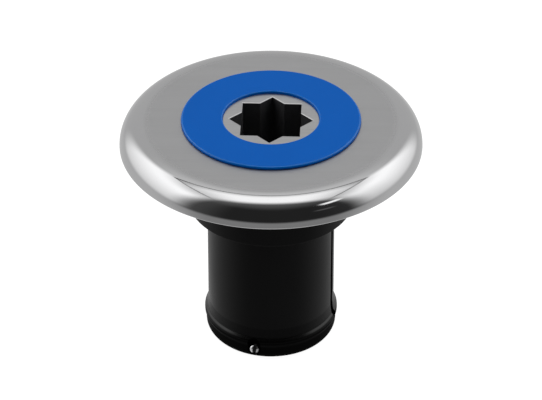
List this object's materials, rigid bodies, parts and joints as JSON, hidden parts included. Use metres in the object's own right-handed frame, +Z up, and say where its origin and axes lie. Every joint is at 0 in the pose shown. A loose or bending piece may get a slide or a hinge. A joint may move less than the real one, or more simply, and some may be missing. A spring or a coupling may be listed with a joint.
{
  "type": "boat deck filler with screw-in cap",
  "caption": "Round stainless deck filler on a black collar and hose tail, with a screw-in cap that has a blue colour ring and a star socket for a winch handle.",
  "frame": {"origin": "centre of the end face of the hose tail, on the axis of the cap", "axes": "+Z up along the axis of the cap and tail; -Y is the front, where the chain anchor screw shows"},
  "size_m": [0.092, 0.092, 0.0771],
  "materials": {
    "polished_steel": "satin top, polished rim",
    "satin_steel": "satin",
    "small_steel": "polished",
    "black_nylon": "semi-gloss",
    "blue_plastic": "semi-gloss",
    "seal_rubber": "matt"
  },
  "bodies": {
    "fitting": {"trim_flange": "polished_steel", "trim_grip_ring": "seal_rubber", "filler_body": "black_nylon", "deck_gasket": "seal_rubber", "retaining_chain": "small_steel", "anchor_screw": "small_steel", "anchor_washer": "small_steel", "anchor_eyelet": "small_steel", "anchor_nut": "small_steel"},
    "swivel": {"swivel_eyelet": "small_steel"},
    "lid": {"lid_plug": "black_nylon", "colour_ring": "blue_plastic", "star_plate": "satin_steel", "lid_o_ring": "seal_rubber", "swivel_screw": "small_steel", "swivel_washer": "small_steel"}
  },
  "joints": [
    {"name": "lid_lift", "type": "slide", "parent": "fitting", "child": "swivel", "axis": [0, 0, 1], "range_m": [0, 0.015], "deforming": ["retaining_chain"]},
    {"name": "lid_turn", "type": "hinge", "parent": "swivel", "child": "lid", "pos_m": [0, 0, 0.068], "axis": [0, 0, 1], "range_deg": [0, 1080]}
  ],
  "couplings": [
    {"joint": "lid_lift", "follows": "lid_turn", "m_per_rad": 0.00079577}
  ]
}
